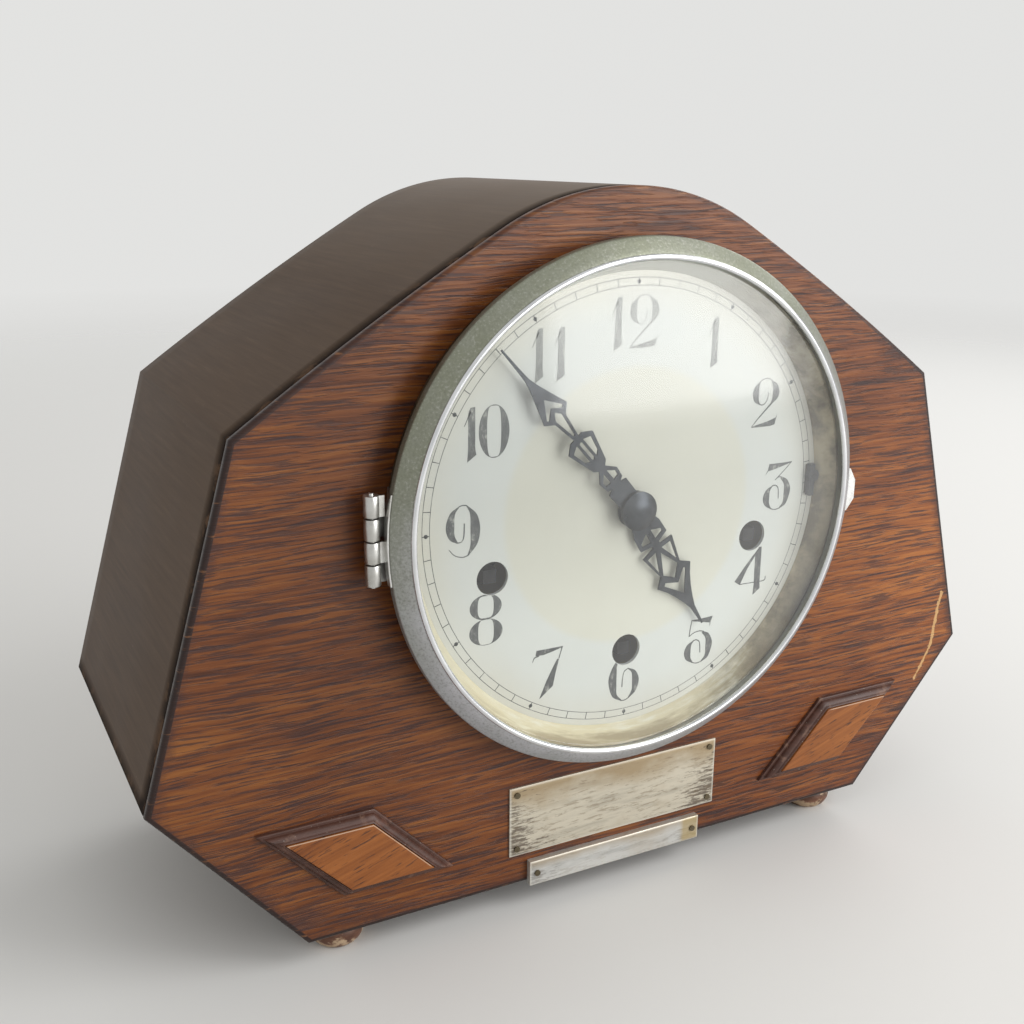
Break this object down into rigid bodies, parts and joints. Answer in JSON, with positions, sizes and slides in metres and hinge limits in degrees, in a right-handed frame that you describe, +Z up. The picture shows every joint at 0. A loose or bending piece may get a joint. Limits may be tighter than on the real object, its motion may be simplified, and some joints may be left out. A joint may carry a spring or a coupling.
{
  "type": "mantel clock",
  "caption": "Wooden mantel clock with a crowned top, a hinged round bezel, pierced hands and a chiming movement behind a back door.",
  "frame": {"origin": "under the middle of the clock, on the surface its feet stand on", "axes": "+X to the right seen from the front, +Y towards the back door, +Z up"},
  "size_m": [0.311, 0.148, 0.235],
  "materials": {
    "oak_veneer": "satin",
    "stained_shell": "satin",
    "carcase_wood": "matte",
    "stained_moulding": "satin",
    "oak_panel": "satin",
    "plaque_metal": "tarnished",
    "aged_brass": "dull",
    "dial_silver": "matte",
    "sight_silver": "satin",
    "bezel_metal": "worn satin",
    "nickel": "bright",
    "clear_glass": "clear",
    "hand_steel": "dark satin",
    "clock_brass": "satin",
    "steel": "satin",
    "gong_iron": "rough"
  },
  "bodies": {
    "case": {"front_board": "oak_veneer", "top_panel": "stained_shell", "side_panel_right": "stained_shell", "side_panel_left": "stained_shell", "lower_panel_right": "stained_shell", "lower_panel_left": "stained_shell", "base_board": "stained_shell", "glue_blocks": "carcase_wood", "bun_feet": "stained_moulding", "lozenge_frame_right": "stained_moulding", "lozenge_frame_left": "stained_moulding", "lozenge_panel_right": "oak_panel", "lozenge_panel_left": "oak_panel", "plaque_large": "plaque_metal", "plaque_small": "plaque_metal", "plaque_pins": "aged_brass", "dial_plate": "dial_silver", "bezel_seat": "aged_brass", "bezel_hinge_leaf": "nickel", "bezel_hinge_pin": "nickel", "front_plate": "clock_brass", "back_plate": "clock_brass", "plate_pillars": "steel", "movement_spacers": "steel", "movement_screws": "steel", "back_cock": "clock_brass", "gong_block": "gong_iron", "gong_rods": "clock_brass", "back_board": "carcase_wood", "door_hinge_leaves": "clock_brass", "door_hinge_pins": "steel"},
    "bezel": {"bezel_ring": "bezel_metal", "sight_ring": "sight_silver", "bezel_glass": "clear_glass", "bezel_tab": "nickel", "bezel_hinge_strap": "nickel"},
    "hands": {"minute_hand": "hand_steel", "hand_nut": "hand_steel", "cannon_pinion": "clock_brass", "center_arbor": "steel"},
    "motion_wheel": {"minute_wheel": "clock_brass"},
    "hour": {"hour_hand": "hand_steel", "hour_wheel": "clock_brass"},
    "intermediate": {"intermediate_arbor": "clock_brass"},
    "third": {"third_arbor": "clock_brass"},
    "escape": {"escape_arbor": "clock_brass"},
    "strike_drum": {"strike_barrel": "clock_brass"},
    "time_drum": {"time_barrel": "clock_brass"},
    "chime_drum": {"chime_barrel": "clock_brass"},
    "strike_winder": {"strike_arbor": "steel"},
    "time_winder": {"time_arbor": "steel"},
    "chime_winder": {"chime_arbor": "steel"},
    "swing": {"pendulum": "clock_brass", "pendulum_bob": "clock_brass", "rating_nut": "clock_brass", "pallet_arbor": "steel"},
    "silencer": {"chime_lever": "hand_steel"},
    "rear_door": {"back_door": "carcase_wood", "door_hinge_straps": "clock_brass"},
    "turn": {"door_turn": "clock_brass"}
  },
  "joints": [
    {"name": "bezel_swing", "type": "hinge", "parent": "case", "child": "bezel", "pos_m": [-0.0882, -0.0605, 0.1365], "axis": [0, 0, -1], "range_deg": [0, 110]},
    {"name": "going_turn", "type": "hinge", "parent": "case", "child": "third", "pos_m": [-0.01803, 0.0035, 0.14687], "axis": [0, 1, 0], "continuous": true},
    {"name": "hands_turn", "type": "hinge", "parent": "case", "child": "hands", "pos_m": [0, 0.0035, 0.1365], "axis": [0, 1, 0], "continuous": true},
    {"name": "intermediate_turn", "type": "hinge", "parent": "case", "child": "intermediate", "pos_m": [0.00822, 0.0035, 0.1155], "axis": [0, 1, 0], "continuous": true},
    {"name": "escape_turn", "type": "hinge", "parent": "case", "child": "escape", "pos_m": [0, 0.0035, 0.14936], "axis": [0, 1, 0], "continuous": true},
    {"name": "time_barrel_turn", "type": "hinge", "parent": "case", "child": "time_drum", "pos_m": [0, 0.0035, 0.0879], "axis": [0, 1, 0], "continuous": true},
    {"name": "strike_barrel_turn", "type": "hinge", "parent": "case", "child": "strike_drum", "pos_m": [-0.049, 0.0035, 0.1203], "axis": [0, 1, 0], "continuous": true},
    {"name": "chime_barrel_turn", "type": "hinge", "parent": "case", "child": "chime_drum", "pos_m": [0.049, 0.0035, 0.1203], "axis": [0, 1, 0], "continuous": true},
    {"name": "motion_wheel_turn", "type": "hinge", "parent": "case", "child": "motion_wheel", "pos_m": [0.01034, -0.0425, 0.14974], "axis": [0, 1, 0], "continuous": true},
    {"name": "hour_turn", "type": "hinge", "parent": "case", "child": "hour", "pos_m": [0, -0.0425, 0.1365], "axis": [0, 1, 0], "continuous": true},
    {"name": "strike_winding", "type": "hinge", "parent": "case", "child": "strike_winder", "pos_m": [-0.049, 0.0035, 0.1203], "axis": [0, 1, 0], "continuous": true},
    {"name": "time_winding", "type": "hinge", "parent": "case", "child": "time_winder", "pos_m": [0, 0.0035, 0.0879], "axis": [0, 1, 0], "continuous": true},
    {"name": "chime_winding", "type": "hinge", "parent": "case", "child": "chime_winder", "pos_m": [0.049, 0.0035, 0.1203], "axis": [0, 1, 0], "continuous": true},
    {"name": "pendulum_swing", "type": "hinge", "parent": "case", "child": "swing", "pos_m": [0, 0.0155, 0.1605], "axis": [0, 1, 0], "range_deg": [-5, 5]},
    {"name": "silencer_swing", "type": "hinge", "parent": "case", "child": "silencer", "pos_m": [0.0354, -0.0545, 0.1377], "axis": [0, 1, 0], "range_deg": [-6, 6]},
    {"name": "rear_door_swing", "type": "hinge", "parent": "case", "child": "rear_door", "pos_m": [-0.1015, 0.0718, 0.1125], "axis": [0, 0, 1], "range_deg": [0, 110]},
    {"name": "turn_swing", "type": "hinge", "parent": "case", "child": "turn", "pos_m": [0.106, 0.0718, 0.1125], "axis": [0, -1, 0], "range_deg": [0, 90]}
  ],
  "couplings": [
    {"joint": "hands_turn", "follows": "going_turn", "ratio": -0.083333},
    {"joint": "escape_turn", "follows": "going_turn", "ratio": -12},
    {"joint": "intermediate_turn", "follows": "going_turn", "ratio": 0.011574},
    {"joint": "time_barrel_turn", "follows": "going_turn", "ratio": -0.0016534},
    {"joint": "motion_wheel_turn", "follows": "going_turn", "ratio": 0.027778},
    {"joint": "hour_turn", "follows": "going_turn", "ratio": -0.0069444}
  ]
}
